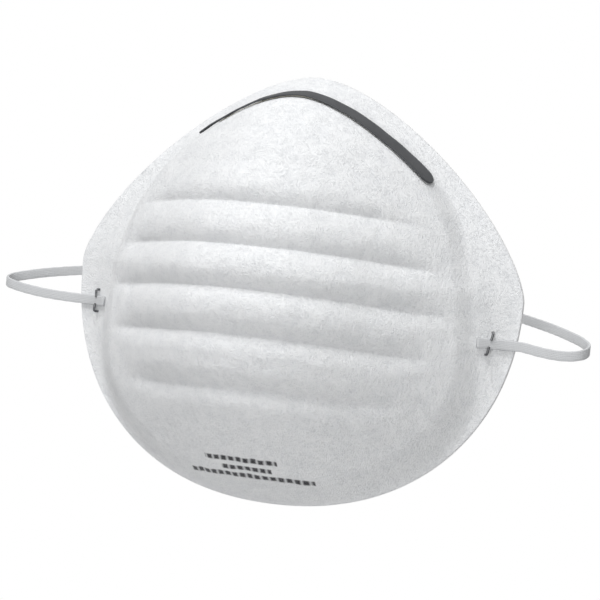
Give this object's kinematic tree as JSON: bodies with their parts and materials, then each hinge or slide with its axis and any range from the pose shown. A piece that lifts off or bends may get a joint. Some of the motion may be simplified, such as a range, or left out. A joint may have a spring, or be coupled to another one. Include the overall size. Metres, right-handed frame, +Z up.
{
  "type": "disposable dust mask",
  "caption": "Moulded cup-shaped disposable dust mask with horizontal ribs, a pinched metal nose strip and one stapled elastic head strap.",
  "frame": {"origin": "near the centre of the face opening, on the middle plane: the widest line of the rim is 5.5 mm above it, and the rearmost part of the rim is close to Y = 0", "axes": "+Z up as worn, the front of the cup faces -Y, the wearer is on +Y, +X is the side on the viewer's right when looking at the front"},
  "size_m": [0.1805, 0.0991, 0.1224],
  "materials": {
    "cover_web": "matte, fibrous",
    "filter_web": "matte, dense fibres",
    "liner_web": "matte, smooth",
    "nose_metal": "satin, dark grey",
    "adhesive": "waxy",
    "elastic": "knitted, matte",
    "staple_steel": "satin"
  },
  "bodies": {
    "cup": {"outer_shell": "cover_web", "filter_layer": "filter_web", "inner_liner": "liner_web", "nose_strip": "nose_metal", "nose_strip_adhesive": "adhesive", "strap_end_left": "elastic", "strap_end_right": "elastic", "staple_left": "staple_steel", "staple_right": "staple_steel"},
    "strap_loop": {"elastic_strap": "elastic"}
  },
  "joints": [
    {"name": "strap_swing", "type": "hinge", "parent": "cup", "child": "strap_loop", "pos_m": [0, -0.00535, -0.0067], "axis": [1, 0, 0], "range_deg": [-75, 55], "stiffness_Nm_per_rad": 0.01}
  ]
}
